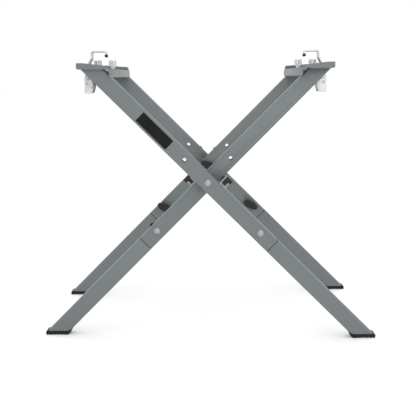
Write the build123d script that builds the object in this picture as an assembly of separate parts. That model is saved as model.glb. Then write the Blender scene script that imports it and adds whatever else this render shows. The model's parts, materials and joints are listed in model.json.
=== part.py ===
from build123d import *
import math
import os

os.makedirs("parts", exist_ok=True)

# A folding X stand. Two nested frames cross on a front and a rear pivot bolt. The outer frame's legs run
# from the upper left to the lower right and carry the left tray. The inner frame is its mirror image,
# nested between the outer legs, and carries the right tray. +X is right, +Y is to the rear, +Z is up.
# The origin is on the floor, midway between the four feet.
#
# Every piece is modelled once, as it is on the front leg of the outer frame or on the left tray, and then
# mirrored in X for the inner frame and in Y for the rear. A piece that belongs to a leg is drawn on the
# leg: x runs down the leg from the pivot, z is the distance from the leg's middle to its upper side.

# ---- driving dimensions, millimetres and degrees ----
PIVOT_HEIGHT = 348.0
LEG_ANGLE = 45.0
TUBE_WIDTH = 35.0
TUBE_DEPTH = 25.0
TUBE_WALL = 1.5
TUBE_CORNER = 3.0
OUTER_FACE = 209.0
FRAME_GAP = 10.0

SHEET = 2.0
TRAY_RISE = 249.0
TRAY_OUTER = 282.0
TRAY_INNER = 209.5
TRAY_FLANGE_UP = 13.0
TRAY_FLANGE_DOWN = 18.6
INNER_TRAY_SHIFT = 3.5
OUTER_TRAY_HALF = 215.0
INNER_TRAY_HALF = 195.0
CLAMP_FROM_FACE = 79.0

SEAM_DISTANCE = 198.0
SEAM_GAP = 1.5
SLEEVE_START = 125.0
SLEEVE_END = 270.0
SLEEVE_CORNER = 2.0
SLEEVE_INNER_CORNER = 0.5
JOINT_DISTANCE = 160.0
JOINT_OFFSET = 2.0
SPARE_HOLE_DISTANCE = -72.0
SPARE_HOLE_RADIUS = 4.5
BUFFER_DISTANCE = -43.0
LABEL_DISTANCE = -163.0

BOLT_RADIUS = 4.0
CAP_RADIUS = 8.75
CAP_HEIGHT = 4.5
NECK_LENGTH = 3.5
BUSHING_RADIUS = 6.0
SPACER_RADIUS = 14.0
WASHER_RADIUS = 9.0
WASHER_THICKNESS = 1.5

KNOB_LENGTH = 40.3
KNOB_WIDTH = 19.5
KNOB_DEPTH = 15.0
KNOB_HUB_RADIUS = 9.0
KNOB_HUB_DEPTH = 4.0
KNOB_BEVEL = 2.0
KNOB_CAP = 2.0
KNOB_TILT = 27.0
INSERT_RADIUS = 6.5
INSERT_DEPTH = 8.0
STUD_RADIUS = 4.0
STUD_HEIGHT = 2.0
STUD_ROUNDING = 1.0
LABEL_SIZE = (90.0, 25.5)
LABEL_CORNER = 1.0
LABEL_THICKNESS = 0.5

SOLE = 9.0
TOOTH_RADIUS = 3.0
PLUG_HEIGHT = 20.0

STRAP_WIDTH = 25.0
STRAP_THICKNESS = 3.2

SLIP = 0.2
RUNNING_GAP = 0.3
SHAFT_GAP = 0.08
CUT = 1.0

# ---- worked out from them ----
TRAY_UNDERSIDE = PIVOT_HEIGHT + TRAY_RISE
TRAY_TOP = TRAY_UNDERSIDE + SHEET
HALF_TUBE = TUBE_WIDTH / 2
HALF_DEPTH = TUBE_DEPTH / 2
COS = math.cos(math.radians(LEG_ANGLE))
SIN = math.sin(math.radians(LEG_ANGLE))
FOOT_X = (PIVOT_HEIGHT - SOLE) * COS / SIN
FACE = {"outer": -OUTER_FACE, "inner": -OUTER_FACE + TUBE_DEPTH + FRAME_GAP}
TRAY_HALF = {"outer": OUTER_TRAY_HALF, "inner": INNER_TRAY_HALF}
TRAY_SHIFT = {"outer": 0.0, "inner": INNER_TRAY_SHIFT}
ENDS = ("front", "rear")
FAR = 900.0


# ---- helpers ----
def leg_middle(frame):
    """The Y of the middle of a frame's front tube."""
    return FACE[frame] + HALF_DEPTH


def inner_face(frame):
    """The Y of the face of a front tube that looks into the stand."""
    return FACE[frame] + TUBE_DEPTH


def clamp_middle(frame):
    """The Y of the middle of a tray's clamp."""
    return FACE[frame] + CLAMP_FROM_FACE


def on_leg(shape, y):
    """Places a shape that is drawn on the leg."""
    return Plane(origin=(0, y, PIVOT_HEIGHT), x_dir=(COS, 0, -SIN), z_dir=(SIN, 0, COS)) * shape


def leg_point(along, up):
    """The X and Z of a point that is drawn on the leg."""
    return along * COS + up * SIN, PIVOT_HEIGHT - along * SIN + up * COS


def block(x, y, z):
    """A box, from a low and a high value on each axis."""
    size = Box(x[1] - x[0], y[1] - y[0], z[1] - z[0])
    return Pos((x[0] + x[1]) / 2, (y[0] + y[1]) / 2, (z[0] + z[1]) / 2) * size


def rod(radius, x, z, y):
    """A round bar along Y, from a low to a high Y."""
    return Pos(x, (y[0] + y[1]) / 2, z) * Rot(90, 0, 0) * Cylinder(radius, y[1] - y[0])


def through_y(face, y):
    """A flat shape drawn in X and Z, given thickness from a low to a high Y."""
    upright = Plane(origin=(0, y[0], 0), x_dir=(1, 0, 0), z_dir=(0, -1, 0))
    return upright * extrude(face, y[1] - y[0], dir=(0, 0, -1))


def plate(points, y):
    """A flat plate with straight edges."""
    return through_y(make_face(Polyline(*points, close=True)), y)


def strip(points, radius, thickness, y):
    """A strip of sheet bent along points in X and Z."""
    return through_y(trace(FilletPolyline(*points, radius=radius), thickness), y)


def both_sides(middle, near, far):
    """Two Y ranges, the same distance to each side of a middle."""
    return [(middle - far, middle - near), (middle + near, middle + far)]


def placed(shape, frame, end="front"):
    """Mirrors a piece to the frame and the end that it belongs to."""
    if frame == "inner":
        shape = mirror(shape, about=Plane.YZ)
    if end == "rear":
        shape = mirror(shape, about=Plane.XZ)
    return shape


def save(shapes, name):
    """Writes a node: one solid, or a group of separate solids."""
    solids = [solid for shape in shapes for solid in shape.solids()]
    node = solids[0] if len(solids) == 1 else Compound(solids)
    export_step(node, f"parts/{name}.step")


# ---- legs ----
def leg_bar(start, end, width, depth, corner):
    """A solid bar along the leg, with rounded corners."""
    across = Plane(origin=(start, 0, 0), x_dir=(0, 1, 0), z_dir=(1, 0, 0))
    return across * extrude(RectangleRounded(depth, width, corner), end - start)


def tube(start, end, width, depth, corner, inner_corner):
    """A hollow bar along the leg."""
    hollow = leg_bar(start - CUT, end + CUT, width - 2 * TUBE_WALL, depth - 2 * TUBE_WALL, inner_corner)
    return leg_bar(start, end, width, depth, corner) - hollow


def leg_tube(start, end):
    """A length of the leg's own tube."""
    return tube(start, end, TUBE_WIDTH, TUBE_DEPTH, TUBE_CORNER, TUBE_CORNER - TUBE_WALL)


def round_hole(along, up, radius):
    """A cutter for a round hole through both walls."""
    return rod(radius, along, up, (-TUBE_DEPTH, TUBE_DEPTH))


def square_hole(along, up, depth):
    """A cutter for the square hole that a bolt's neck sits in, from the leg's outer face."""
    half = BOLT_RADIUS + SLIP
    deep = (-HALF_DEPTH - CUT, depth - HALF_DEPTH)
    return block((along - half, along + half), deep, (up - half, up + half))


def bolt_hole(along, up):
    """A cutter for a carriage bolt: square under the head, round beyond it."""
    return round_hole(along, up, BOLT_RADIUS + SLIP) + square_hole(along, up, NECK_LENGTH + SLIP)


def upper_leg(frame):
    """The upper tube, mitred under the tray and cut square at the seam."""
    leg = leg_tube(-TRAY_RISE / SIN - TUBE_WIDTH, SEAM_DISTANCE)
    leg -= bolt_hole(JOINT_DISTANCE, JOINT_OFFSET)
    if frame == "outer":
        leg -= bolt_hole(0, 0)
        leg -= square_hole(SPARE_HOLE_DISTANCE, 0, TUBE_DEPTH + CUT)
    else:
        leg -= round_hole(0, 0, BUSHING_RADIUS)
        leg -= round_hole(SPARE_HOLE_DISTANCE, 0, SPARE_HOLE_RADIUS)
    return on_leg(leg, leg_middle(frame)) - block((-FAR, FAR), (-FAR, FAR), (TRAY_UNDERSIDE, FAR))


# A foot's side, as X from where the leg's middle meets the tube's end, and Z. The heel comes first.
FOOT_OUTLINE = [
    (-20, 0),
    (-9, 0),
    (-8, 2.5),
    (27, 2.5),
    (29.8, 4.5),
    (29.8, 6.5),
    (27.8, 9),
    (24.5, 9.6),
    (-27.6, 11.5),
    (-28.6, 10.3),
    (-26.5, 6.5),
    (-23.8, 3),
]
# Where the rubber covers the sharp corner of the tube's heel.
HEEL_WEDGE = [(-18.5, SOLE - CUT), (-18.5, SOLE), (-26.2, 11.5), (-40, 11.5), (-40, SOLE - CUT)]
FOOT_ROUNDING = 0.6
TEETH = (-5, 3, 11, 19, 26)


def heel_wedge(frame):
    """The corner that the lower tube leaves to its foot."""
    width = (leg_middle(frame) - TUBE_DEPTH, leg_middle(frame) + TUBE_DEPTH)
    return plate([(FOOT_X + x, z) for x, z in HEEL_WEDGE], width)


def lower_leg(frame):
    """The lower tube, cut square at the seam and mitred in the foot."""
    leg = leg_tube(SEAM_DISTANCE + SEAM_GAP, (PIVOT_HEIGHT - SOLE) / SIN + TUBE_WIDTH)
    leg = on_leg(leg, leg_middle(frame)) - block((-FAR, FAR), (-FAR, FAR), (-FAR, SOLE))
    return leg - heel_wedge(frame)


def leg_sleeve(frame):
    """The inner tube that joins a lower leg to its upper leg."""
    inset = 2 * (TUBE_WALL + SLIP)
    size = (TUBE_WIDTH - inset, TUBE_DEPTH - inset)
    sleeve = tube(SLEEVE_START, SLEEVE_END, *size, SLEEVE_CORNER, SLEEVE_INNER_CORNER)
    return on_leg(sleeve - bolt_hole(JOINT_DISTANCE, JOINT_OFFSET), leg_middle(frame))


def foot(frame):
    """A rubber foot: a toothed sole that wraps the tube's toe and heel, and a plug inside the tube."""
    depth = (leg_middle(frame) - HALF_DEPTH, leg_middle(frame) + HALF_DEPTH)
    sole = plate([(FOOT_X + x, z) for x, z in FOOT_OUTLINE], depth)
    sole = fillet(sole.edges().filter_by(Axis.Y), FOOT_ROUNDING)
    leg_end = (PIVOT_HEIGHT - SOLE) / SIN
    inset = 2 * (TUBE_WALL + SLIP)
    room = Pos(leg_end, 0, 0) * Box(4 * TUBE_WIDTH, 2 * TUBE_DEPTH, TUBE_WIDTH)
    room = on_leg(room, leg_middle(frame)) & block((-FAR, FAR), (-FAR, FAR), (SOLE, FAR))
    sole -= room - heel_wedge(frame)
    plug = leg_bar(
        leg_end - 2 * TUBE_WIDTH,
        leg_end + 2 * TUBE_WIDTH,
        TUBE_WIDTH - inset,
        TUBE_DEPTH - inset,
        TUBE_CORNER - TUBE_WALL,
    )
    plug_height = block((-FAR, FAR), (-FAR, FAR), (SOLE - CUT, SOLE + PLUG_HEIGHT))
    sole += on_leg(plug, leg_middle(frame)) & plug_height
    for tooth in TEETH:
        sole += rod(TOOTH_RADIUS, FOOT_X + tooth, TOOTH_RADIUS, depth)
    return sole


# ---- trays ----
BEND_RADIUS = 2.5
FLANGE_CORNER = 4.0
LIP_CORNER_CUT = 3.0
LIP_HIGH_LENGTH = 15.0
# Each end's lip: its height at the outer side and at the inner side, where its slope ends, and its corner.
FRONT_LIP = (13.5, 8.2, 57, 1)
REAR_LIP = (14.6, 11.6, 58, 4)
HOOK_SLOT_DEPTH = 20.0
HOOK_SLOT_ROOM = 2.0


def end_lip(y, outer_x, inner_x, high, low, slope_end, corner):
    """An upturned end of a tray: high at the outer side, sloping to a lower stretch at the inner side."""
    points = [
        (outer_x, TRAY_UNDERSIDE + LIP_CORNER_CUT),
        (outer_x + LIP_CORNER_CUT, TRAY_UNDERSIDE),
        (inner_x, TRAY_UNDERSIDE),
        (inner_x, TRAY_UNDERSIDE + low - corner),
        (inner_x - corner, TRAY_UNDERSIDE + low),
        (outer_x + slope_end, TRAY_UNDERSIDE + low),
        (outer_x + LIP_HIGH_LENGTH, TRAY_UNDERSIDE + high),
        (outer_x, TRAY_UNDERSIDE + high),
    ]
    return plate(points, y)


def tray(frame):
    """The sheet tray, turned up at its outer edge and ends and down at its inner edge."""
    half = TRAY_HALF[frame]
    outer_x = -TRAY_OUTER + TRAY_SHIFT[frame]
    inner_x = -TRAY_INNER + TRAY_SHIFT[frame]
    middle = SHEET / 2
    profile = [
        (outer_x + middle, TRAY_UNDERSIDE + TRAY_FLANGE_UP),
        (outer_x + middle, TRAY_UNDERSIDE + middle),
        (inner_x - middle, TRAY_UNDERSIDE + middle),
        (inner_x - middle, TRAY_TOP - TRAY_FLANGE_DOWN),
    ]
    sheet = strip(profile, BEND_RADIUS, SHEET, (-half, half))
    sheet = fillet(sheet.edges().filter_by(Axis.X).group_by(Axis.Z)[0], FLANGE_CORNER)
    lip_end = inner_x - BEND_RADIUS
    sheet += end_lip((-half, SHEET - half), outer_x, lip_end, *FRONT_LIP)
    sheet += end_lip((half - SHEET, half), outer_x, lip_end, *REAR_LIP)
    slot_half = STRAP_WIDTH / 2 + HOOK_SLOT_ROOM
    slot_y = (clamp_middle(frame) - slot_half, clamp_middle(frame) + slot_half)
    sheet -= block((outer_x - CUT, outer_x + HOOK_SLOT_DEPTH), slot_y, (TRAY_UNDERSIDE - CUT, FAR))
    leg_room = Box(FAR, TUBE_DEPTH + 2, TUBE_WIDTH + 2 * RUNNING_GAP)
    for y in (leg_middle(frame), -leg_middle(frame)):
        sheet -= on_leg(leg_room, y) & block((-FAR, FAR), (-FAR, FAR), (0, TRAY_UNDERSIDE))
    return sheet


CLIP_LENGTH = 24.0
CLIP_BOTTOM = TRAY_TOP + 3
CLIP_TOP = TRAY_TOP + 19
CLIP_ROUNDING = 5.5
CLIP_CHAMFER = 0.7
SLOT_WIDTH = 4.4
SLOT_BOTTOM = TRAY_TOP + 9
SLOT_ROUNDING = 1.8
THIN_WALL = 3.8
THICK_WALL = 6.4
STEM_WIDTH = 5.5
# Each clip: the X of its slot, the side of its thick wall, and the X of its stem.
CLIPS = ((-247.5, 1, -246.5), (-211.5, -1, -212.5))


def clip_head(slot_x, thick_side):
    """A clip's head, seen along Y: two walls, one of them thick, with a slot between."""
    walls = (THICK_WALL, THIN_WALL) if thick_side < 0 else (THIN_WALL, THICK_WALL)
    low_x = slot_x - SLOT_WIDTH / 2 - walls[0]
    high_x = slot_x + SLOT_WIDTH / 2 + walls[1]
    outline = Rectangle(high_x - low_x, CLIP_TOP - CLIP_BOTTOM)
    head = Pos((low_x + high_x) / 2, (CLIP_BOTTOM + CLIP_TOP) / 2) * outline
    head = fillet(head.vertices().sort_by(Axis.Y)[:2], CLIP_ROUNDING)
    slot_top = CLIP_TOP + 2 * SLOT_WIDTH
    slot = Pos(slot_x, (SLOT_BOTTOM + slot_top) / 2) * Rectangle(SLOT_WIDTH, slot_top - SLOT_BOTTOM)
    return head - fillet(slot.vertices().sort_by(Axis.Y)[:2], SLOT_ROUNDING)


def saddle(slot_x, thick_side, stem_x, y):
    """A nylon clip: a slotted head on a flat stem."""
    rise = CLIP_BOTTOM - TRAY_TOP
    stem = Pos(stem_x, CLIP_BOTTOM) * Rectangle(STEM_WIDTH, 2 * rise)
    clip = through_y(clip_head(slot_x, thick_side) + stem, (y - CLIP_LENGTH / 2, y + CLIP_LENGTH / 2))
    return chamfer(clip.edges().filter_by(Axis.Y).group_by(Axis.Z)[-1], CLIP_CHAMFER)


def saddles(frame):
    """The two clips of a tray, whose thick walls face each other."""
    return [Pos(TRAY_SHIFT[frame], 0, 0) * saddle(*clip, clamp_middle(frame)) for clip in CLIPS]


# ---- hook clamp, drawn round the lever's pivot ----
LEVER_PIVOT = (-266.0, TRAY_UNDERSIDE - 20.5)
HOOK_PIVOT = (-268.5, TRAY_UNDERSIDE - 30.2)
BRACKET_INSIDE = STRAP_WIDTH / 2 + 0.5
LEVER_INSIDE = BRACKET_INSIDE + SHEET + 0.5
LEVER_OUTSIDE = LEVER_INSIDE + SHEET
RIVET_RADIUS = 2.0
HOOK_PIN_RADIUS = 2.5
HOOK_EYE_RADIUS = 5.0
BRACKET_BACK = 18.0
BRACKET_EAR_RADIUS = 4.5
BRACKET_FOOT = 15.0
RIVET_HEAD_RADIUS = 3.0
RIVET_HEAD_HEIGHT = 1.5
# The lever's side and the room inside it, as X and Z from its pivot.
LEVER_OUTLINE = [
    (-8.7, 5.5),
    (-8.7, -30),
    (-7.8, -32.5),
    (7, -32.5),
    (8.5, -31),
    (12.5, -17.5),
    (11, -4.5),
    (6, 6.5),
]
LEVER_ROOM = [(-6.7, -30.5), (30, -30.5), (30, 30), (-30, 30), (-30, -19.5), (-6.7, -19.5)]


def round_lever_pivot(points):
    """Points given from the lever's pivot, as X and Z."""
    return [(LEVER_PIVOT[0] + x, LEVER_PIVOT[1] + z) for x, z in points]


def clamp_bracket(frame):
    """The bent bracket under the tray: a back, two cheeks that carry the lever, and two feet."""
    y = clamp_middle(frame)
    rise = TRAY_UNDERSIDE - LEVER_PIVOT[1]
    back_x = LEVER_PIVOT[0] + BRACKET_BACK
    full = (y - BRACKET_INSIDE - SHEET, y + BRACKET_INSIDE + SHEET)
    bracket = block((back_x - SHEET, back_x), full, (LEVER_PIVOT[1] + 6, TRAY_UNDERSIDE))
    cheek = round_lever_pivot([(4, rise), (BRACKET_BACK, rise), (BRACKET_BACK, 6), (3.2, -3.2), (-3.2, 3.2)])
    for cheek_y in both_sides(y, BRACKET_INSIDE, BRACKET_INSIDE + SHEET):
        bracket += plate(cheek, cheek_y)
        bracket += rod(BRACKET_EAR_RADIUS, *LEVER_PIVOT, cheek_y)
    for foot_y in both_sides(y, BRACKET_INSIDE, BRACKET_INSIDE + BRACKET_FOOT):
        bracket += block((LEVER_PIVOT[0] + 4, back_x), foot_y, (TRAY_UNDERSIDE - SHEET, TRAY_UNDERSIDE))
    bracket -= rod(RIVET_RADIUS, *LEVER_PIVOT, (y - 2 * STRAP_WIDTH, y + 2 * STRAP_WIDTH))
    return Pos(TRAY_SHIFT[frame], 0, 0) * bracket


def clamp_rivets(frame):
    """The two stub rivets that the lever turns on, with their heads outside the lever."""
    y = clamp_middle(frame)
    head_start = LEVER_OUTSIDE + RUNNING_GAP
    rivets = []
    for stub_y, head_y in zip(
        both_sides(y, BRACKET_INSIDE, head_start + CUT / 2),
        both_sides(y, head_start, head_start + RIVET_HEAD_HEIGHT),
    ):
        rivet = rod(RIVET_RADIUS, *LEVER_PIVOT, stub_y) + rod(RIVET_HEAD_RADIUS, *LEVER_PIVOT, head_y)
        rivets.append(Pos(TRAY_SHIFT[frame], 0, 0) * rivet)
    return rivets


def clamp_lever(frame):
    """The pressed lever: two cheeks, joined by a web along the handle's outer edge and its end."""
    y = clamp_middle(frame)
    lever = plate(round_lever_pivot(LEVER_OUTLINE), (y - LEVER_OUTSIDE, y + LEVER_OUTSIDE))
    lever -= plate(round_lever_pivot(LEVER_ROOM), (y - LEVER_INSIDE, y + LEVER_INSIDE))
    across = (y - 2 * STRAP_WIDTH, y + 2 * STRAP_WIDTH)
    lever -= rod(RIVET_RADIUS + SHAFT_GAP, *LEVER_PIVOT, across)
    lever -= rod(HOOK_PIN_RADIUS, *HOOK_PIVOT, across)
    return Pos(TRAY_SHIFT[frame], 0, 0) * lever


def hook_pin(frame):
    """The pin through the lever's cheeks that the hook turns on."""
    y = clamp_middle(frame)
    pin = rod(HOOK_PIN_RADIUS, *HOOK_PIVOT, (y - LEVER_OUTSIDE, y + LEVER_OUTSIDE))
    return Pos(TRAY_SHIFT[frame], 0, 0) * pin


HOOK_TOP = TRAY_UNDERSIDE + 40.5
HOOK_SHANK_X = -259.0
HOOK_END_X = -226.7
HOOK_END = HOOK_TOP - 10.5
HOOK_BEND = 4.0
TIP_WALL = 0.6
TIP_OVERLAP = 4.0
TIP_LENGTH = 2.2
TIP_ROUNDING = 1.2


def hook_strap(frame):
    """The J-shaped strap: an eye round the pin, a cranked shank, and the hook over the clips."""
    y = clamp_middle(frame)
    width = (y - STRAP_WIDTH / 2, y + STRAP_WIDTH / 2)
    path = [
        (HOOK_PIVOT[0] - 3.7, HOOK_PIVOT[1] + 2),
        (HOOK_PIVOT[0] - 4.1, TRAY_UNDERSIDE),
        (HOOK_SHANK_X, TRAY_UNDERSIDE + 26),
        (HOOK_SHANK_X, HOOK_TOP),
        (HOOK_END_X, HOOK_TOP),
        (HOOK_END_X, HOOK_END),
    ]
    strap = strip(path, HOOK_BEND, STRAP_THICKNESS, width) + rod(HOOK_EYE_RADIUS, *HOOK_PIVOT, width)
    strap -= rod(HOOK_PIN_RADIUS + SHAFT_GAP, *HOOK_PIVOT, (width[0] - CUT, width[1] + CUT))
    return Pos(TRAY_SHIFT[frame], 0, 0) * strap


def hook_tip(frame):
    """The rubber cap on the end of the hook."""
    y = clamp_middle(frame)
    half = STRAP_THICKNESS / 2 + TIP_WALL
    width = (y - STRAP_WIDTH / 2 - TIP_WALL, y + STRAP_WIDTH / 2 + TIP_WALL)
    height = (HOOK_END - TIP_LENGTH, HOOK_END + TIP_OVERLAP)
    tip = block((HOOK_END_X - half, HOOK_END_X + half), width, height)
    tip = fillet(tip.edges().filter_by(Axis.Y).group_by(Axis.Z)[0], TIP_ROUNDING)
    strap_x = (HOOK_END_X - STRAP_THICKNESS / 2, HOOK_END_X + STRAP_THICKNESS / 2)
    tip -= block(strap_x, (width[0] + TIP_WALL, width[1] - TIP_WALL), (HOOK_END, HOOK_TOP))
    return Pos(TRAY_SHIFT[frame], 0, 0) * tip


# ---- fold latch, drawn on the leg ----
LATCH_STOP = HALF_TUBE + 0.5
LATCH_PIN = (LATCH_STOP + 15.2, HALF_TUBE + 11.5)
LATCH_PIN_RADIUS = 1.5
LATCH_HALF = 10.0
KNUCKLE_START = 6.0
KNUCKLE_RADIUS = 2.5
LATCH_TOP = HALF_TUBE + 22.0
LATCH_BASE_LENGTH = 21.0
EAR_BEYOND = 12.0
EAR_HEIGHT = 15.0
LEVER_SWEEP = 12.6
THUMB_BAR_RISE = 2.3
SPRING_THICKNESS = 0.8
SPRING_BEND = 1.2
SPRING_HALF = 5.0


def latch_bracket(frame):
    """The bent bracket on the leg's upper side. Its ear stops the other frame's leg as the stand opens."""
    base_top = HALF_TUBE + SHEET
    width = (-LATCH_HALF, LATCH_HALF)
    bracket = block((LATCH_STOP, LATCH_STOP + LATCH_BASE_LENGTH), width, (HALF_TUBE, base_top))
    bracket += block((LATCH_STOP, LATCH_STOP + SHEET), width, (HALF_TUBE, LATCH_TOP))
    reach = HALF_DEPTH + FRAME_GAP + EAR_BEYOND
    ear = (0, reach) if frame == "outer" else (-reach, 0)
    bracket += block((LATCH_STOP, LATCH_STOP + SHEET), ear, (base_top + 1, base_top + EAR_HEIGHT))
    pin_x, pin_z = LATCH_PIN
    for knuckle_y in both_sides(0, KNUCKLE_START, LATCH_HALF):
        bracket += block((pin_x - 1, pin_x + 1), knuckle_y, (HALF_TUBE, pin_z - 1))
        bracket += rod(KNUCKLE_RADIUS, pin_x, pin_z, knuckle_y)
    bracket -= rod(LATCH_PIN_RADIUS, pin_x, pin_z, (-LATCH_HALF - CUT, LATCH_HALF + CUT))
    return on_leg(bracket, leg_middle(frame))


def latch_lever(frame):
    """The black rocker: a wide thumb bar, and a stem whose inner side is an arc about the pin."""
    pin_x, pin_z = LATCH_PIN
    width = (1.5 - LATCH_HALF, LATCH_HALF - 1.5)
    bar_bottom = pin_z + THUMB_BAR_RISE
    inner_x = pin_x - LEVER_SWEEP
    stem = block((inner_x, pin_x - 3.2), width, (HALF_TUBE + 4, bar_bottom + CUT))
    stem &= rod(LEVER_SWEEP, pin_x, pin_z, width)
    bar = block((inner_x, pin_x + 4), width, (bar_bottom, LATCH_TOP + 0.5))
    bar = fillet(bar.edges().filter_by(Axis.Y).group_by(Axis.Z)[-1], 1.5)
    lever = stem + bar
    lever -= rod(KNUCKLE_RADIUS + 0.5, pin_x, pin_z, width)
    barrel_y = (0.5 - KNUCKLE_START, KNUCKLE_START - 0.5)
    lever += rod(KNUCKLE_RADIUS - 0.1, pin_x, pin_z, barrel_y)
    lever += block((pin_x - 1.8, pin_x + 1.8), barrel_y, (pin_z, bar_bottom + CUT))
    lever -= rod(LATCH_PIN_RADIUS + SHAFT_GAP, pin_x, pin_z, width)
    return on_leg(lever, leg_middle(frame))


def latch_pin(frame):
    """The pin through the bracket's knuckles."""
    pin = rod(LATCH_PIN_RADIUS, *LATCH_PIN, (-LATCH_HALF - 0.8, LATCH_HALF + 0.8))
    return on_leg(pin, leg_middle(frame))


def latch_spring(frame):
    """The leaf spring on the bracket's base that pushes the thumb bar up."""
    base = HALF_TUBE + SHEET + 0.4
    upright_x = LATCH_STOP + 19.9
    path = [(upright_x - 3.4, base), (upright_x, base), (upright_x, LATCH_PIN[1] + 0.2)]
    spring = strip(path, SPRING_BEND, SPRING_THICKNESS, (-SPRING_HALF, SPRING_HALF))
    return on_leg(spring, leg_middle(frame))


# ---- bolts, knobs and small pieces ----
def carriage_bolt(x, z, head_y, tip_y):
    """A carriage bolt along Y: a domed cap, a square neck and a shank."""
    sphere_radius = (CAP_RADIUS**2 + CAP_HEIGHT**2) / (2 * CAP_HEIGHT)
    cap = Pos(x, head_y - CAP_HEIGHT + sphere_radius, z) * Sphere(sphere_radius)
    cap &= rod(CAP_RADIUS + CUT, x, z, (head_y - CAP_HEIGHT - CUT, head_y))
    neck_box = Box(2 * BOLT_RADIUS, NECK_LENGTH, 2 * BOLT_RADIUS)
    neck = Pos(x, head_y + NECK_LENGTH / 2, z) * Rot(0, LEG_ANGLE, 0) * neck_box
    return cap + neck + rod(BOLT_RADIUS, x, z, (head_y, tip_y))


def bolt_tip(frame):
    """The Y where a bolt through a frame's leg ends, inside its knob."""
    return inner_face(frame) + WASHER_THICKNESS + KNOB_DEPTH - KNOB_CAP - RUNNING_GAP


def ring(outer_radius, inner_radius, x, z, y):
    """A plain ring along Y."""
    return rod(outer_radius, x, z, y) - rod(inner_radius, x, z, (y[0] - CUT, y[1] + CUT))


def washer(x, z, start):
    """A flat washer under a knob."""
    return ring(WASHER_RADIUS, BOLT_RADIUS + SLIP, x, z, (start, start + WASHER_THICKNESS))


def pivot_bolt():
    """The bolt that the two frames fold on."""
    return carriage_bolt(0, PIVOT_HEIGHT, FACE["outer"], bolt_tip("inner") + RUNNING_GAP)


def pivot_spacer():
    """The ring that keeps the two frames apart."""
    start = inner_face("outer")
    length = (start, start + FRAME_GAP - RUNNING_GAP)
    return ring(SPACER_RADIUS, BOLT_RADIUS + SLIP, 0, PIVOT_HEIGHT, length)


def pivot_bushing():
    """The nylon bushing through the inner frame's tube."""
    length = (FACE["inner"], inner_face("inner"))
    return ring(BUSHING_RADIUS, BOLT_RADIUS + SHAFT_GAP, 0, PIVOT_HEIGHT, length)


def knob_place(x, z, start, tilt=KNOB_TILT):
    """A knob's own frame: x along the oval, z from the leg into the stand."""
    tilt = math.radians(tilt)
    return Plane(origin=(x, start, z), x_dir=(math.cos(tilt), 0, -math.sin(tilt)), z_dir=(0, 1, 0))


def knob(place):
    """An oval knob with a bevelled face, a round hub, and a blind hole for the bolt."""
    grip = extrude(Ellipse(KNOB_LENGTH / 2, KNOB_WIDTH / 2), KNOB_DEPTH - KNOB_HUB_DEPTH)
    grip = chamfer(grip.edges().sort_by(Axis.Z)[-1], KNOB_BEVEL)
    hub = extrude(Circle(KNOB_HUB_RADIUS), KNOB_HUB_DEPTH + CUT)
    pocket = extrude(RegularPolygon(INSERT_RADIUS, 6), INSERT_DEPTH)
    bore = extrude(Circle(BOLT_RADIUS + SHAFT_GAP), KNOB_DEPTH - KNOB_CAP)
    return place * (Pos(0, 0, KNOB_HUB_DEPTH) * grip + hub - pocket - bore)


def knob_insert(place):
    """The steel hexagon moulded into a knob."""
    return place * extrude(RegularPolygon(INSERT_RADIUS, 6) - Circle(BOLT_RADIUS + SHAFT_GAP), INSERT_DEPTH)


def buffer_stud(frame):
    """A low round stud on the upper side of an upper arm."""
    stud = Pos(BUFFER_DISTANCE, 0, HALF_TUBE + STUD_HEIGHT / 2) * Cylinder(STUD_RADIUS, STUD_HEIGHT)
    return on_leg(fillet(stud.edges().sort_by(Axis.Z)[-1], STUD_ROUNDING), leg_middle(frame))


def label():
    """A blank label on the outer frame's front leg."""
    face = Plane(origin=(LABEL_DISTANCE, 0, 0), x_dir=(1, 0, 0), z_dir=(0, -1, 0))
    blank = extrude(RectangleRounded(*LABEL_SIZE, LABEL_CORNER), LABEL_THICKNESS)
    return on_leg(face * blank, FACE["outer"])


# ---- writing the nodes ----
def save_leg(frame, end):
    """Writes the pieces of one leg that have a node each."""
    joint = leg_point(JOINT_DISTANCE, JOINT_OFFSET)
    tilt = KNOB_TILT if frame == "outer" else -KNOB_TILT
    place = knob_place(*joint, inner_face(frame) + WASHER_THICKNESS + RUNNING_GAP, tilt)
    pieces = {
        "upper_leg": upper_leg(frame),
        "lower_leg": lower_leg(frame),
        "latch_lever": latch_lever(frame),
        "joint_knob": knob(place),
        "joint_insert": knob_insert(place),
    }
    for name, piece in pieces.items():
        save([placed(piece, frame, end)], f"{frame}_{end}_{name}")


def save_groups(frame):
    """Writes the identical pieces of a frame's two legs, each kind as one group."""
    joint = leg_point(JOINT_DISTANCE, JOINT_OFFSET)
    groups = {
        "leg_sleeves": [leg_sleeve(frame)],
        "feet": [foot(frame)],
        "joint_bolts": [carriage_bolt(*joint, FACE[frame], bolt_tip(frame))],
        "latch_brackets": [latch_bracket(frame)],
        "latch_pins": [latch_pin(frame)],
        "latch_springs": [latch_spring(frame)],
        "buffer_studs": [buffer_stud(frame)],
        "washers": [washer(*joint, inner_face(frame))],
    }
    if frame == "outer":
        groups["washers"].append(washer(0, PIVOT_HEIGHT, inner_face("inner") + RUNNING_GAP))
    for name, pieces in groups.items():
        save([placed(piece, frame, end) for end in ENDS for piece in pieces], f"{frame}_{name}")


def save_tray(frame):
    """Writes a tray and what is fitted to it."""
    fittings = {
        "tray": [tray(frame)],
        "saddles": saddles(frame),
        "clamp_bracket": [clamp_bracket(frame)],
        "clamp_rivets": clamp_rivets(frame),
        "clamp_lever": [clamp_lever(frame)],
        "hook_pin": [hook_pin(frame)],
        "hook_strap": [hook_strap(frame)],
        "hook_tip": [hook_tip(frame)],
    }
    for name, pieces in fittings.items():
        save([placed(piece, frame) for piece in pieces], f"{frame}_{name}")


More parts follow.
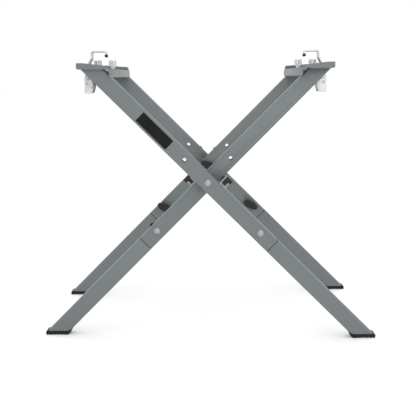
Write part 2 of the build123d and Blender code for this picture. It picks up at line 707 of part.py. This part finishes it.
def save_pivots():
    """Writes the pieces of the two pivots."""
    place = knob_place(0, PIVOT_HEIGHT, inner_face("inner") + WASHER_THICKNESS + 2 * RUNNING_GAP)
    for end in ENDS:
        save([placed(knob(place), "outer", end)], f"{end}_pivot_knob")
        save([placed(knob_insert(place), "outer", end)], f"{end}_pivot_insert")
    groups = {
        "pivot_bolts": pivot_bolt(),
        "pivot_spacers": pivot_spacer(),
        "pivot_bushings": pivot_bushing(),
    }
    for name, piece in groups.items():
        save([placed(piece, "outer", end) for end in ENDS], name)


for frame in FACE:
    for end in ENDS:
        save_leg(frame, end)
    save_groups(frame)
    save_tray(frame)
save_pivots()
save([label()], "blank_label")
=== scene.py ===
import bmesh
import bpy
import json
import math
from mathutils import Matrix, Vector

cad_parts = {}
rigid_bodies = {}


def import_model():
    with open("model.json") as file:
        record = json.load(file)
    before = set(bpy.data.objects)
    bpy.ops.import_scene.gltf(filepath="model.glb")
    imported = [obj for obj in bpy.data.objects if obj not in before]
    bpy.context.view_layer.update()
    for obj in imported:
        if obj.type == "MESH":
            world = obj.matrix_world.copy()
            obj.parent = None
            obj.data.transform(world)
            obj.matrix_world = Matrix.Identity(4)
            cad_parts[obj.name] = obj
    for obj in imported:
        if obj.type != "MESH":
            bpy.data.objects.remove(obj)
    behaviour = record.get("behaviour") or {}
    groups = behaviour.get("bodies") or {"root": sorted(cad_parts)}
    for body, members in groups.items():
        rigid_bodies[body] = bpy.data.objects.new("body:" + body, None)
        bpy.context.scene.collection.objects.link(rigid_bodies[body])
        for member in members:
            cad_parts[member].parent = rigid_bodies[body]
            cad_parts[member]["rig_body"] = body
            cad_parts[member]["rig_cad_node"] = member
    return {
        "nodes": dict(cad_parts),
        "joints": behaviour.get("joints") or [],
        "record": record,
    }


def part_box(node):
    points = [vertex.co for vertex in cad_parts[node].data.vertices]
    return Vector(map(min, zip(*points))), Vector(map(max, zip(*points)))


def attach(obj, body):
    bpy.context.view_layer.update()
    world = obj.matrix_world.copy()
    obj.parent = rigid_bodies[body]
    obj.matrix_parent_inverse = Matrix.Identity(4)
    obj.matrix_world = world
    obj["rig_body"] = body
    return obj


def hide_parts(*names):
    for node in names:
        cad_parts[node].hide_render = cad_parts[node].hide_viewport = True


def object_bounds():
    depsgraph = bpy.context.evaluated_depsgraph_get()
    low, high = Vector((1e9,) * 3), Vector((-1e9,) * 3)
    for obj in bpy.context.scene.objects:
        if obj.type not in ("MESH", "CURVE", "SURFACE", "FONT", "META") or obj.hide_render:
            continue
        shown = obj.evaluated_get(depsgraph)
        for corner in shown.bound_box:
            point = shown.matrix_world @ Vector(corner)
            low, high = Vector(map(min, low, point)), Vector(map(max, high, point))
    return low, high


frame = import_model()
cad_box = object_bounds()

MM = 0.001
FRAMES = ("outer", "inner")
ENDS = ("front", "rear")


# ---- places worked out from the frame ----
def joint_point(name):
    """Where a joint's axis passes, from the record."""
    joint = next(j for j in frame["joints"] if j["name"] == name)
    return Vector(joint["pos_m"])


PIVOT = joint_point("fold")
CENTRE = (cad_box[0] + cad_box[1]) / 2

# The camera's place, in metres: aside from the middle, before the nearest face, and above the pivot. Then
# its angles, in degrees, its lens, in millimetres, and its shift, as parts of the picture's width.
CAMERA_ASIDE = -0.0016
CAMERA_DISTANCE = 1.6468
CAMERA_RISE = 0.2282
CAMERA_TIP = 4.57
CAMERA_ROLL = 0.424
CAMERA_TURN = 0.115
CAMERA_LENS = 66.11
CAMERA_SENSOR = 36.0
CAMERA_SHIFT = (0.0074, -0.165)


# ---- node materials ----
class Nodes:
    """A small helper that adds shader nodes and joins them up."""

    def __init__(self, name):
        self.material = bpy.data.materials.new(name)
        self.material.use_nodes = True
        self.tree = self.material.node_tree
        self.tree.nodes.clear()
        self.output = self.tree.nodes.new("ShaderNodeOutputMaterial")
        self.shader = self.add("ShaderNodeBsdfPrincipled")
        self.join(self.shader.outputs["BSDF"], self.output.inputs["Surface"])
        self.place = self.add("ShaderNodeTexCoord").outputs["Object"]

    def add(self, kind, **inputs):
        """Adds a node and sets the named inputs."""
        node = self.tree.nodes.new(kind)
        for name, value in inputs.items():
            node.inputs[name.replace("_", " ")].default_value = value
        return node

    def join(self, source, target):
        """Links an output to an input."""
        self.tree.links.new(source, target)

    def noise(self, scale, detail=2.0, roughness=0.5, stretch=None):
        """Noise in the object's own space. The scale is per metre. Stretch is a scale for each axis."""
        place = self.place
        if stretch is not None:
            mapping = self.add("ShaderNodeMapping")
            mapping.inputs["Scale"].default_value = stretch
            self.join(place, mapping.inputs["Vector"])
            place = mapping.outputs["Vector"]
        node = self.add("ShaderNodeTexNoise", Scale=scale, Detail=detail, Roughness=roughness)
        self.join(place, node.inputs["Vector"])
        return node.outputs["Fac"]

    def ramp(self, value, low, high, low_to, high_to):
        """Maps a value from one range to another."""
        node = self.add("ShaderNodeMapRange")
        node.inputs["From Min"].default_value = low
        node.inputs["From Max"].default_value = high
        node.inputs["To Min"].default_value = low_to
        node.inputs["To Max"].default_value = high_to
        self.join(value, node.inputs["Value"])
        return node.outputs["Result"]

    def mix(self, amount, first, second):
        """Mixes two colours. Each is a colour or an output."""
        node = self.add("ShaderNodeMix")
        node.data_type = "RGBA"
        self.join(amount, node.inputs["Factor"])
        for value, socket in ((first, node.inputs[6]), (second, node.inputs[7])):
            if isinstance(value, bpy.types.NodeSocket):
                self.join(value, socket)
            else:
                socket.default_value = (*value, 1)
        return node.outputs[2]

    def edges(self, radius, low, high):
        """1 on a piece's edges and 0 on its flats, from how far a rounded normal leaves the true one."""
        bevel = self.add("ShaderNodeBevel", Radius=radius)
        bevel.samples = 4
        geometry = self.add("ShaderNodeNewGeometry")
        dot = self.add("ShaderNodeVectorMath")
        dot.operation = "DOT_PRODUCT"
        self.join(bevel.outputs["Normal"], dot.inputs[0])
        self.join(geometry.outputs["Normal"], dot.inputs[1])
        return self.ramp(dot.outputs["Value"], low, high, 1.0, 0.0)

    def bump(self, height, strength, distance, before=None):
        """A bump from a height, on top of an earlier one."""
        node = self.add("ShaderNodeBump", Strength=strength, Distance=distance)
        self.join(height, node.inputs["Height"])
        if before is not None:
            self.join(before, node.inputs["Normal"])
        return node.outputs["Normal"]

    def colour(self, socket):
        self.join(socket, self.shader.inputs["Base Color"])

    def roughness(self, socket):
        self.join(socket, self.shader.inputs["Roughness"])

    def normal(self, socket):
        self.join(socket, self.shader.inputs["Normal"])

    def set(self, name, value):
        """Sets a value that is the same all over on the shader itself."""
        self.shader.inputs[name].default_value = value


# How far the painted shade on the edges of metal and nylon pieces reaches in, and how dark it is.
PAINTED_EDGE_SHADE_REACH = 1.3 * MM
METAL_PAINTED_EDGE_SHADE = 0.4
NYLON_PAINTED_EDGE_SHADE = 0.55


def shade(colour, factor):
    """A colour made lighter or darker."""
    return tuple(min(1.0, c * factor) for c in colour)


def powder_coat(name, colour):
    """Satin powder coat: fine orange peel, faint cloudiness, and a lighter line where edges have rubbed."""
    n = Nodes(name)
    cloud = n.ramp(n.noise(9, 4), 0.35, 0.65, 0.0, 1.0)
    speck = n.ramp(n.noise(2600, 2), 0.35, 0.65, 0.0, 1.0)
    body = n.mix(cloud, shade(colour, 0.965), shade(colour, 1.035))
    body = n.mix(n.ramp(speck, 0.0, 1.0, 0.0, 0.35), body, shade(colour, 0.9))
    rub = n.ramp(n.noise(160, 5, 0.65), 0.52, 0.68, 0.0, 0.5)
    worn = n.add("ShaderNodeMath")
    worn.operation = "MULTIPLY"
    n.join(n.edges(0.0012, 0.86, 0.98), worn.inputs[0])
    n.join(rub, worn.inputs[1])
    n.colour(n.mix(worn.outputs["Value"], body, shade(colour, 1.75)))
    n.roughness(n.ramp(n.noise(45, 5), 0.3, 0.7, 0.40, 0.52))
    peel = n.bump(n.noise(1150, 2, 0.45), 0.16, 0.0004)
    n.normal(n.bump(speck, 0.05, 0.0001, peel))
    n.set("Specular IOR Level", 0.5)
    n.set("Coat Weight", 0.12)
    n.set("Coat Roughness", 0.32)
    return n.material


def plated_steel(name, colour, roughness, grain, stretch=(1, 1, 1)):
    """Zinc plate: a bright metal with faint crystals, fine drawn lines, duller patches and painted shade
    darkening its edges.
    """
    n = Nodes(name)
    spangle = n.add("ShaderNodeTexVoronoi", Scale=420.0)
    n.join(n.place, spangle.inputs["Vector"])
    crystal = n.ramp(spangle.outputs["Distance"], 0.0, 0.8, 0.0, 0.35)
    cloud = n.ramp(n.noise(60, 4), 0.35, 0.65, 0.0, 1.0)
    body = n.mix(crystal, colour, shade(colour, 0.88))
    body = n.mix(cloud, body, shade(colour, 1.03))
    # Painted shade: every edge is darkened, drawing a dark outline round the piece.
    n.colour(n.mix(n.edges(PAINTED_EDGE_SHADE_REACH, 0.84, 0.99), body, shade(colour, METAL_PAINTED_EDGE_SHADE)))
    lines = n.noise(grain, 3, 0.6, stretch)
    n.roughness(n.ramp(lines, 0.3, 0.7, roughness - 0.06, roughness + 0.08))
    n.normal(n.bump(lines, 0.06, 0.0001))
    n.set("Metallic", 1.0)
    return n.material


def moulded_plastic(name, colour, roughness, grain, bump, scuff):
    """Moulded plastic: a spark-eroded grain, slightly uneven gloss, and edges that have scuffed lighter."""
    n = Nodes(name)
    cloud = n.ramp(n.noise(70, 3), 0.35, 0.65, 0.0, 1.0)
    body = n.mix(cloud, shade(colour, 0.94), shade(colour, 1.06))
    n.colour(n.mix(n.edges(0.0009, 0.82, 0.98), body, scuff))
    n.roughness(n.ramp(n.noise(130, 4), 0.3, 0.7, roughness - 0.05, roughness + 0.07))
    n.normal(n.bump(n.noise(grain, 2, 0.55), bump, 0.0002))
    n.set("Specular IOR Level", 0.3)
    return n.material


def nylon(name, colour):
    """Milky nylon, with a little light inside it, a soft sheen and painted shade greying its edges."""
    n = Nodes(name)
    cloud = n.ramp(n.noise(110, 3), 0.35, 0.65, 0.0, 1.0)
    body = n.mix(cloud, shade(colour, 0.97), shade(colour, 1.03))
    # Painted shade: every edge is greyed, drawing an outline round the piece.
    n.colour(n.mix(n.edges(PAINTED_EDGE_SHADE_REACH, 0.84, 0.99), body, shade(colour, NYLON_PAINTED_EDGE_SHADE)))
    n.roughness(n.ramp(n.noise(300, 3), 0.3, 0.7, 0.34, 0.46))
    n.normal(n.bump(n.noise(1500, 2), 0.08, 0.0002))
    n.set("Subsurface Weight", 0.15)
    n.set("Subsurface Radius", (0.004, 0.004, 0.004))
    n.set("Subsurface Scale", 1.0)
    return n.material


def rubber(name, colour):
    """Black rubber: matt, mottled, with dusty edges."""
    n = Nodes(name)
    dust = n.ramp(n.noise(220, 5, 0.7), 0.5, 0.75, 0.0, 0.45)
    body = n.mix(dust, colour, shade(colour, 2.4))
    n.colour(n.mix(n.edges(0.0010, 0.80, 0.98), body, shade(colour, 3.2)))
    n.roughness(n.ramp(n.noise(90, 4), 0.3, 0.7, 0.55, 0.75))
    n.normal(n.bump(n.noise(1900, 3, 0.6), 0.22, 0.0003))
    n.set("Specular IOR Level", 0.22)
    return n.material


def film(name, colour):
    """Satin label film with a very fine tooth."""
    n = Nodes(name)
    cloud = n.ramp(n.noise(40, 3), 0.35, 0.65, 0.0, 1.0)
    n.colour(n.mix(cloud, colour, shade(colour, 1.5)))
    n.roughness(n.ramp(n.noise(200, 4), 0.3, 0.7, 0.36, 0.46))
    n.normal(n.bump(n.noise(2400, 2), 0.05, 0.0001))
    n.set("Specular IOR Level", 0.12)
    return n.material


PAINT = (0.140, 0.158, 0.161)
ZINC = (0.47, 0.475, 0.487)
DULL_ZINC = (0.36, 0.363, 0.37)
BLACK = (0.012, 0.012, 0.013)
BLACK_SCUFF = (0.05, 0.05, 0.052)
GREY = (0.20, 0.21, 0.21)
GREY_SCUFF = (0.3, 0.3, 0.3)
NYLON = (0.58, 0.585, 0.59)
RUBBER = (0.010, 0.010, 0.010)
LABEL = (0.006, 0.006, 0.006)
# Painted shade: near-black steel for the sleeves, standing for the shade in the leg seams.
SEAM_SHADE_STEEL = (0.05, 0.052, 0.053)


def make_materials():
    """One material for each of the record's slots."""
    return {
        "frame_paint": powder_coat("frame_paint", PAINT),
        "tray_paint": powder_coat("tray_paint", shade(PAINT, 0.98)),
        "bright_zinc": plated_steel("bright_zinc", shade(ZINC, 1.3), 0.42, 700, (1, 4, 1)),
        "zinc_plate": plated_steel("zinc_plate", shade(ZINC, 0.85), 0.40, 900),
        "bolt_steel": plated_steel("bolt_steel", DULL_ZINC, 0.42, 800),
        "white_nylon": nylon("white_nylon", NYLON),
        "black_rubber": rubber("black_rubber", RUBBER),
        "black_plastic": moulded_plastic("black_plastic", BLACK, 0.42, 1500, 0.2, BLACK_SCUFF),
        "grey_plastic": moulded_plastic("grey_plastic", GREY, 0.5, 1300, 0.15, GREY_SCUFF),
        "label_film": film("label_film", LABEL),
    }


# ---- softened copies of CAD nodes ----
# Points nearer than this are one point, and faces that meet at less than this angle are one face.
SAME_POINT = 0.001 * MM
FLAT_ANGLE = 0.6


def softened(node, width, segments=2, angle=35.0):
    """A copy of a CAD node with its sharp edges rounded, which stands in for the node."""
    source = frame["nodes"][node]
    mesh = source.data.copy()
    piece = bpy.data.objects.new(f"{node}_finished", mesh)
    mesh.name = piece.name
    bpy.context.scene.collection.objects.link(piece)
    work = bmesh.new()
    work.from_mesh(mesh)
    bmesh.ops.remove_doubles(work, verts=work.verts, dist=SAME_POINT)
    flat = math.radians(FLAT_ANGLE)
    bmesh.ops.dissolve_limit(work, angle_limit=flat, verts=work.verts, edges=work.edges)
    for face in work.faces:
        face.smooth = True
    work.to_mesh(mesh)
    work.free()
    bevel = piece.modifiers.new("rounded_edges", "BEVEL")
    bevel.width = width
    bevel.segments = segments
    bevel.limit_method = "ANGLE"
    bevel.angle_limit = math.radians(angle)
    bevel.use_clamp_overlap = True
    bevel.harden_normals = True
    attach(piece, frame["nodes"][node]["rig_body"])
    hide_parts(node)
    return piece


def paint(piece, slot, materials):
    """Gives a piece a slot's material."""
    piece.data.materials.clear()
    piece.data.materials.append(materials[slot])


def smooth_by_angle(piece, angle=30.0):
    """Smooth shading that keeps sharp edges sharp."""
    piece.data.set_sharp_from_angle(angle=math.radians(angle))


# ---- welds under the trays ----
TOP_BAND = 0.1 * MM
WELD_RADIUS = 1.6 * MM
WELD_PITCH = 1.5 * MM
WELD_SIDES = 8
WELD_STEPS_A_RIPPLE = 3
WELD_RIPPLE = 0.13
WELD_TAPER = 6
WELD_TIP = 0.35
WELD_SINK = 0.4 * MM
WELD_INSET = 4 * MM


def ring_of_top(node):
    """The lowest and highest X and Y of a leg's mitred end, which is its highest ring of points."""
    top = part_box(node)[1].z
    ring = [v.co for v in frame["nodes"][node].data.vertices if v.co.z > top - TOP_BAND]
    xs = [p.x for p in ring]
    ys = [p.y for p in ring]
    return min(xs), max(xs), min(ys), max(ys), top


def weld_bead(work, start, end, out):
    """A bead of overlapping ripples from start to end, half sunk in the corner below the tray."""
    length = (end - start).length
    along = (end - start).normalized()
    across = (Vector((0, 0, -1)) + out).normalized()
    side = along.cross(across)
    steps = max(2, round(length / (WELD_PITCH / WELD_STEPS_A_RIPPLE)))
    turns = [2 * math.pi * k / WELD_SIDES for k in range(WELD_SIDES)]
    rings = []
    for i in range(steps + 1):
        t = i / steps
        ripple = 1 + WELD_RIPPLE * math.cos(2 * math.pi * t * length / WELD_PITCH)
        taper = min(1.0, WELD_TAPER * t + WELD_TIP, WELD_TAPER * (1 - t) + WELD_TIP)
        radius = WELD_RADIUS * ripple * taper
        middle = start + along * length * t
        around = [math.cos(a) * across + math.sin(a) * side for a in turns]
        rings.append([work.verts.new(middle + radius * way) for way in around])
    for low, high in zip(rings, rings[1:]):
        for k in range(WELD_SIDES):
            work.faces.new((low[k], low[(k + 1) % WELD_SIDES], high[(k + 1) % WELD_SIDES], high[k]))
    work.faces.new(list(reversed(rings[0])))
    work.faces.new(rings[-1])


def tray_welds(name, materials):
    """The welds along the sides of a frame's two legs, where they meet the tray."""
    work = bmesh.new()
    for end in ENDS:
        low_x, high_x, low_y, high_y, top = ring_of_top(f"{name}_{end}_upper_leg")
        z = top - WELD_SINK
        for y, out in ((low_y, -1), (high_y, 1)):
            start = Vector((low_x + WELD_INSET, y, z))
            finish = Vector((high_x - WELD_INSET, y, z))
            weld_bead(work, start, finish, Vector((0, out, 0)))
    bmesh.ops.recalc_face_normals(work, faces=work.faces)
    mesh = bpy.data.meshes.new(f"{name}_tray_welds")
    work.to_mesh(mesh)
    work.free()
    for polygon in mesh.polygons:
        polygon.use_smooth = True
    piece = bpy.data.objects.new(mesh.name, mesh)
    bpy.context.scene.collection.objects.link(piece)
    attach(piece, f"{name}_frame")
    paint(piece, "frame_paint", materials)
    return piece


# ---- floor, light and camera ----
FLOOR_SIZE = 60.0
FLOOR_GLOW = 0.12
OVERHEAD_PLACE = Vector((0, -0.1, 2.2))
OVERHEAD_SIZE = 2.4
OVERHEAD_WATTS = 11
FRONT_PLACE = Vector((0.5, -2.2, 1.0))
FRONT_SIZE = 1.6
FRONT_WATTS = 8


def pale_floor():
    """A plain pale floor that carries on past the horizon."""
    bpy.ops.mesh.primitive_plane_add(size=FLOOR_SIZE, location=(0, 0, 0))
    floor = bpy.context.object
    floor.name = "floor"
    n = Nodes("pale_floor")
    tint = n.ramp(n.noise(1.5, 3), 0.3, 0.7, 0.0, 1.0)
    n.colour(n.mix(tint, (0.87, 0.87, 0.87), (0.89, 0.89, 0.89)))
    n.set("Roughness", 0.9)
    n.set("Specular IOR Level", 0.1)
    n.set("Emission Color", (1, 1, 1, 1))
    n.set("Emission Strength", FLOOR_GLOW)
    floor.data.materials.append(n.material)
    return floor


def area_light(name, place, target, size, power):
    """A soft square light that looks at a point."""
    data = bpy.data.lights.new(name, "AREA")
    data.shape = "SQUARE"
    data.size = size
    data.energy = power
    light = bpy.data.objects.new(name, data)
    light.location = place
    light.rotation_euler = (Vector(target) - Vector(place)).to_track_quat("-Z", "Y").to_euler()
    bpy.context.scene.collection.objects.link(light)
    return light


def studio_light():
    """A white surround, a large soft light overhead and a smaller one in front."""
    world = bpy.data.worlds.new("white_surround")
    bpy.context.scene.world = world
    world.use_nodes = True
    back = world.node_tree.nodes["Background"]
    back.inputs["Color"].default_value = (1, 1, 1, 1)
    back.inputs["Strength"].default_value = 1.0
    area_light("overhead", CENTRE + OVERHEAD_PLACE, CENTRE, OVERHEAD_SIZE, OVERHEAD_WATTS)
    area_light("front", FRONT_PLACE, CENTRE, FRONT_SIZE, FRONT_WATTS)


def set_camera():
    """A long lens a little below the trays, tipped slightly down, with part of the framing as shift."""
    data = bpy.data.cameras.new("camera")
    data.sensor_width = CAMERA_SENSOR
    data.lens = CAMERA_LENS
    data.shift_x, data.shift_y = CAMERA_SHIFT
    camera = bpy.data.objects.new("camera", data)
    camera.location = (CAMERA_ASIDE, cad_box[0].y - CAMERA_DISTANCE, PIVOT.z + CAMERA_RISE)
    tip, roll, turn = (math.radians(a) for a in (CAMERA_TIP, CAMERA_ROLL, CAMERA_TURN))
    camera.rotation_euler = (math.radians(90) - tip, roll, turn)
    bpy.context.scene.collection.objects.link(camera)
    bpy.context.scene.camera = camera


# ---- putting it together ----
# How far each kind of piece has its edges rounded, in metres. A kind that isn't here keeps its CAD mesh.
ROUNDING = {
    "upper_leg": 0.35 * MM,
    "lower_leg": 0.35 * MM,
    "tray": 0.4 * MM,
    "feet": 0.7 * MM,
    "saddles": 0.6 * MM,
    "clamp_bracket": 0.35 * MM,
    "clamp_lever": 0.5 * MM,
    "clamp_rivets": 0.5 * MM,
    "hook_strap": 0.5 * MM,
    "hook_tip": 0.5 * MM,
    "latch_brackets": 0.35 * MM,
    "latch_lever": 0.6 * MM,
    "latch_springs": 0.2 * MM,
    "knob": 0.8 * MM,
    "washers": 0.3 * MM,
    "pivot_spacers": 0.4 * MM,
    "joint_bolts": 0.3 * MM,
    "pivot_bolts": 0.3 * MM,
}


def rounding(node):
    """The rounding of a node's kind, or None."""
    return next((width for kind, width in ROUNDING.items() if node.endswith(kind)), None)


def finish_nodes(materials):
    """Rounds each CAD node's edges, or keeps its mesh, and gives it its slot's material."""
    slots = {s["node"]: s["material_slot"] for s in frame["record"]["subparts"]}
    for name, node in frame["nodes"].items():
        if rounding(name) is None:
            smooth_by_angle(node)
            paint(node, slots[name], materials)
        else:
            paint(softened(name, rounding(name)), slots[name], materials)


def paint_seam_shade_on_sleeves():
    """The sleeves show only in the seams of the legs, so their steel is painted near black as the seams'
    shade, darker than their slot's.
    """
    sleeve_seam_shade = plated_steel("sleeve_seam_shade", SEAM_SHADE_STEEL, 0.5, 800)
    for name in FRAMES:
        sleeves = frame["nodes"][f"{name}_leg_sleeves"]
        sleeves.data.materials.clear()
        sleeves.data.materials.append(sleeve_seam_shade)


materials = make_materials()
finish_nodes(materials)
paint_seam_shade_on_sleeves()
for name in FRAMES:
    tray_welds(name, materials)

pale_floor()
studio_light()
bpy.context.scene.view_settings.view_transform = "Standard"
set_camera()
